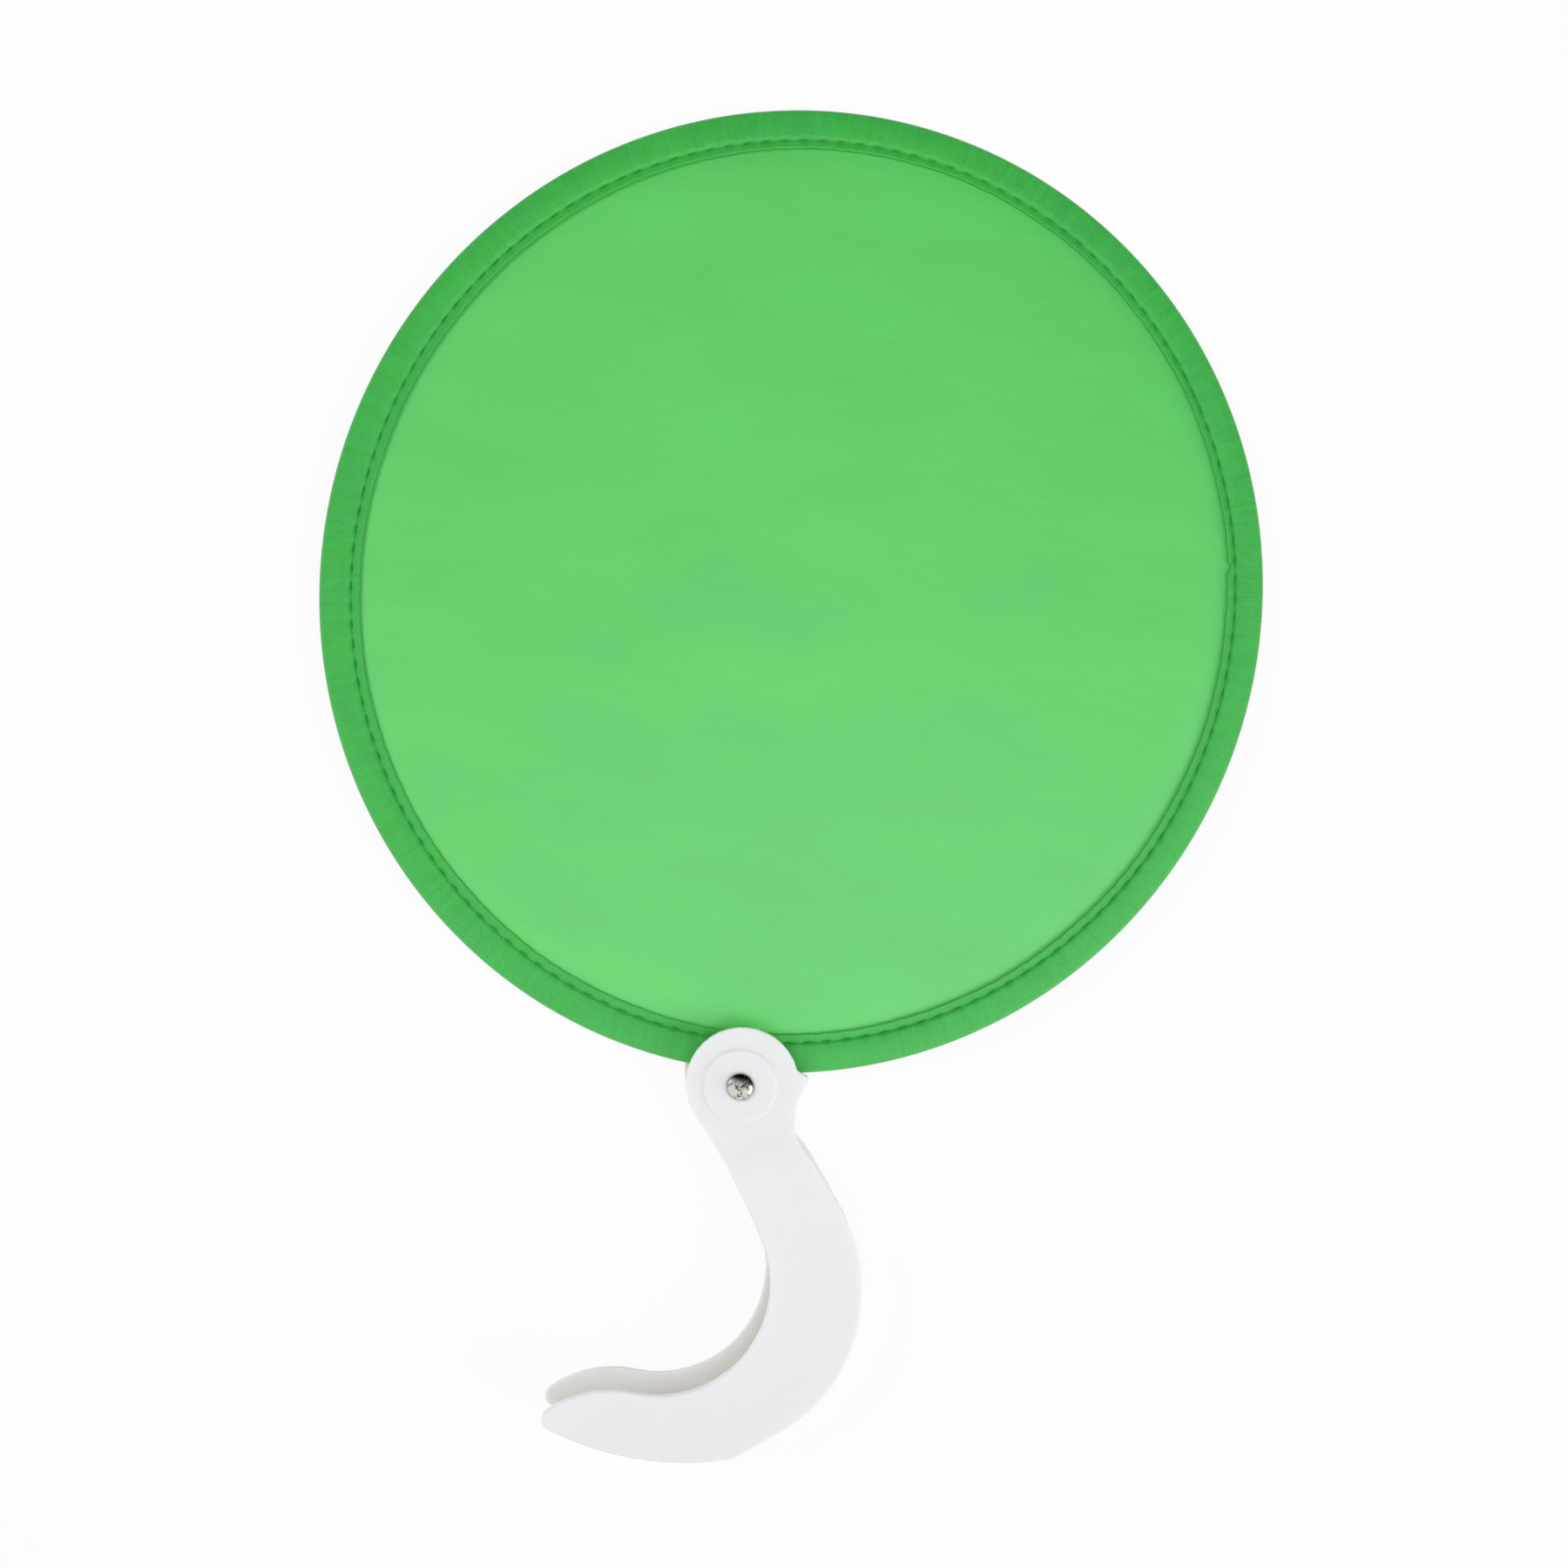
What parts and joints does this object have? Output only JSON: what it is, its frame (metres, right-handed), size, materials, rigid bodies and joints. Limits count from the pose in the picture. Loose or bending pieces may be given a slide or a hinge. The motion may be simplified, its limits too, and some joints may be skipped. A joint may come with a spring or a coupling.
{
  "type": "collapsible hand fan",
  "caption": "Hand fan with a round cloth disc on a spring-wire hoop, swivelling on a rivet in a hooked channel handle that takes the coiled disc.",
  "frame": {"origin": "on the flat of the rear cheek, at the middle of the grip beside the bay of the hook", "axes": "+Z out of the front cheek, along the rivet; +Y from the grip towards the disc; -X into the bay of the hook"},
  "size_m": [0.2496, 0.3542, 0.02],
  "materials": {
    "handle_plastic": "satin white",
    "clamp_plastic": "matt off-white",
    "rivet_metal": "bright nickel",
    "spring_wire": "drawn wire",
    "tape_cloth": "ribbed tape",
    "panel_cloth": "fine weave with a slight sheen"
  },
  "bodies": {
    "handle": {"handle": "handle_plastic", "rivet": "rivet_metal"},
    "disc": {"rim_clamp_front": "clamp_plastic", "rim_clamp_rear": "clamp_plastic", "spring_hoop": "spring_wire", "hoop_ferrule": "spring_wire", "binding_tape": "tape_cloth", "fabric_panel": "panel_cloth"}
  },
  "joints": [
    {"name": "disc_swing", "type": "hinge", "parent": "handle", "child": "disc", "pos_m": [-0.01968, 0.0507, 0.0095], "axis": [0, 0, 1], "range_deg": [-3, 90]}
  ]
}
